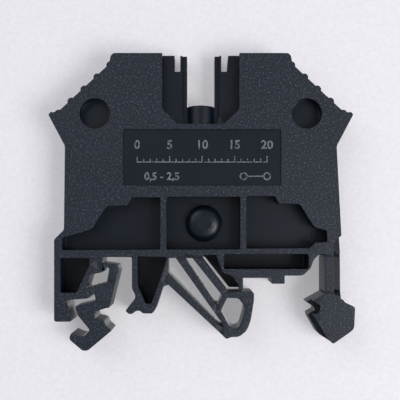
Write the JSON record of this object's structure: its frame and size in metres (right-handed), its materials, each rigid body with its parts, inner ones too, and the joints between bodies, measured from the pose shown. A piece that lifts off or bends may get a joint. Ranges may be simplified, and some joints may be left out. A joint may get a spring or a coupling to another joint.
{
  "type": "din rail terminal block",
  "caption": "Slim feed-through terminal block with two screw clamps, a cross-connection slot and sprung feet for a 35 mm rail.",
  "frame": {"origin": "centre of the rail's top surface, midway between the rail's edges and halfway through the block's thickness", "axes": "+X along the block across the rail, +Y along the rail from the closed face to the open face, +Z away from the rail"},
  "size_m": [0.0471, 0.005, 0.0458],
  "materials": {
    "moulding": "spark-eroded matt black polyamide",
    "bar_metal": "tinned",
    "cage_metal": "zinc plated",
    "screw_metal": "zinc plated"
  },
  "bodies": {
    "housing": {"housing": "moulding", "current_bar": "bar_metal", "rail_foot_web": "moulding", "rail_foot_leaf": "moulding", "rail_hook_leaf": "moulding", "g_foot_arm_lower": "moulding", "g_foot_arm_middle": "moulding", "g_foot_arm_upper": "moulding"},
    "cage_left": {"clamp_cage_left": "cage_metal"},
    "cage_right": {"clamp_cage_right": "cage_metal"},
    "screw_left": {"clamp_screw_left": "screw_metal"},
    "screw_right": {"clamp_screw_right": "screw_metal"},
    "rail_foot": {"rail_foot": "moulding"},
    "rail_hook": {"rail_hook": "moulding"},
    "g_foot": {"g_foot_loop": "moulding"}
  },
  "joints": [
    {"name": "screw_left_turn", "type": "hinge", "parent": "housing", "child": "screw_left", "pos_m": [-0.01, 0.00035, 0.028], "axis": [0, 0, -1], "range_deg": [0, 2162]},
    {"name": "screw_right_turn", "type": "hinge", "parent": "housing", "child": "screw_right", "pos_m": [0.01, 0.00035, 0.028], "axis": [0, 0, -1], "range_deg": [0, 2162]},
    {"name": "cage_left_slide", "type": "slide", "parent": "housing", "child": "cage_left", "axis": [0, 0, 1], "range_m": [0, 0.0027]},
    {"name": "cage_right_slide", "type": "slide", "parent": "housing", "child": "cage_right", "axis": [0, 0, 1], "range_m": [0, 0.0027]},
    {"name": "rail_foot_flex", "type": "hinge", "parent": "housing", "child": "rail_foot", "pos_m": [-0.0168, 0, 0.0024], "axis": [0, 1, 0], "range_deg": [0, 14], "stiffness_Nm_per_rad": 0.12, "deforming": ["rail_foot_web", "rail_foot_leaf"]},
    {"name": "rail_hook_flex", "type": "hinge", "parent": "housing", "child": "rail_hook", "pos_m": [0.0205, 0, 0.007], "axis": [0, -1, 0], "range_deg": [0, 6], "stiffness_Nm_per_rad": 0.3, "deforming": ["rail_hook_leaf"]},
    {"name": "g_foot_flex", "type": "hinge", "parent": "housing", "child": "g_foot", "pos_m": [-0.003, 0, 0.0068], "axis": [0, 1, 0], "range_deg": [0, 6], "stiffness_Nm_per_rad": 0.2, "deforming": ["g_foot_arm_lower", "g_foot_arm_middle", "g_foot_arm_upper"]}
  ],
  "couplings": [
    {"joint": "screw_left_turn", "follows": "cage_left_slide", "rad_per_m": 13963},
    {"joint": "screw_right_turn", "follows": "cage_right_slide", "rad_per_m": 13963}
  ]
}
